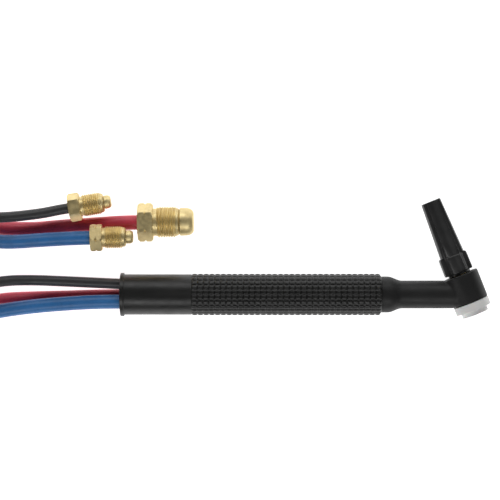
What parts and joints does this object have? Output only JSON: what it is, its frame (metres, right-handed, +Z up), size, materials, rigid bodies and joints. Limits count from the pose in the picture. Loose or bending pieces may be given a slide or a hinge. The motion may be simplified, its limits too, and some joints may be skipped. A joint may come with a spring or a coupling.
{
  "type": "welding torch",
  "caption": "Water-cooled welding torch: bumped straight handle, angled head with a screwed back cap, and gas, water and power hoses ending in threaded brass nuts.",
  "frame": {"origin": "on the surface that the torch lies on, under the centre of the torch's own box, without the hoses", "axes": "+X along the handle from its rear end to the head, +Y towards the back cap's side, +Z up"},
  "size_m": [0.6471, 0.1238, 0.0604],
  "materials": {
    "handle": "moulded matt black with raised grip bumps",
    "head_rubber": "smooth satin black moulding",
    "brass": "machined",
    "copper": "drawn copper tube",
    "gasket": "white PTFE, satin",
    "cap": "black phenolic, satin",
    "seal": "matt black",
    "power_hose": "smooth crimson hose",
    "water_hose": "smooth blue hose",
    "gas_hose": "smooth black hose",
    "strap": "black hook-and-loop tape"
  },
  "bodies": {
    "torch": {"handle_grip": "handle", "head_moulding": "head_rubber", "head_core": "brass", "water_jacket": "brass", "cup_gasket": "gasket", "power_tube": "copper", "power_tail": "brass", "power_ferrule": "brass", "power_hose_out": "power_hose", "power_coil": "power_hose", "power_hose_back": "power_hose", "power_nipple": "brass", "water_tube": "copper", "water_tail": "brass", "water_ferrule": "brass", "water_hose_out": "water_hose", "water_coil": "water_hose", "water_hose_back": "water_hose", "water_nipple": "brass", "gas_tube": "copper", "gas_tail": "brass", "gas_ferrule": "brass", "gas_hose_out": "gas_hose", "gas_coil": "gas_hose", "gas_hose_back": "gas_hose", "gas_nipple": "brass", "coil_strap_1": "strap", "coil_strap_2": "strap", "coil_strap_3": "strap"},
    "cap_seal": {"cap_o_ring": "seal"},
    "back_cap": {"back_cap": "cap", "cap_insert": "brass"},
    "power_nut": {"power_nut": "brass"},
    "water_nut": {"water_nut": "brass"},
    "gas_nut": {"gas_nut": "brass"}
  },
  "joints": [
    {"name": "cap_lift", "type": "slide", "parent": "torch", "child": "cap_seal", "axis": [-0.3714, 0.9285, 0], "range_m": [0, 0.00763]},
    {"name": "cap_turn", "type": "hinge", "parent": "cap_seal", "child": "back_cap", "pos_m": [0.10024, 0.01146, 0.0154], "axis": [-0.3714, 0.9285, 0], "range_deg": [0, 2160]},
    {"name": "power_nut_turn", "type": "hinge", "parent": "torch", "child": "power_nut", "pos_m": [-0.1193, 0.0255, 0.01195], "axis": [0.9999, 0.0157, 0], "continuous": true},
    {"name": "water_nut_turn", "type": "hinge", "parent": "torch", "child": "water_nut", "pos_m": [-0.1522, 0.0145, 0.0208], "axis": [0.9997, 0.0244, 0], "continuous": true},
    {"name": "gas_nut_turn", "type": "hinge", "parent": "torch", "child": "gas_nut", "pos_m": [-0.168, 0.0356, 0.0148], "axis": [0.9863, 0.165, 0], "continuous": true}
  ],
  "couplings": [
    {"joint": "cap_lift", "follows": "cap_turn", "m_per_rad": 0.00020213}
  ]
}
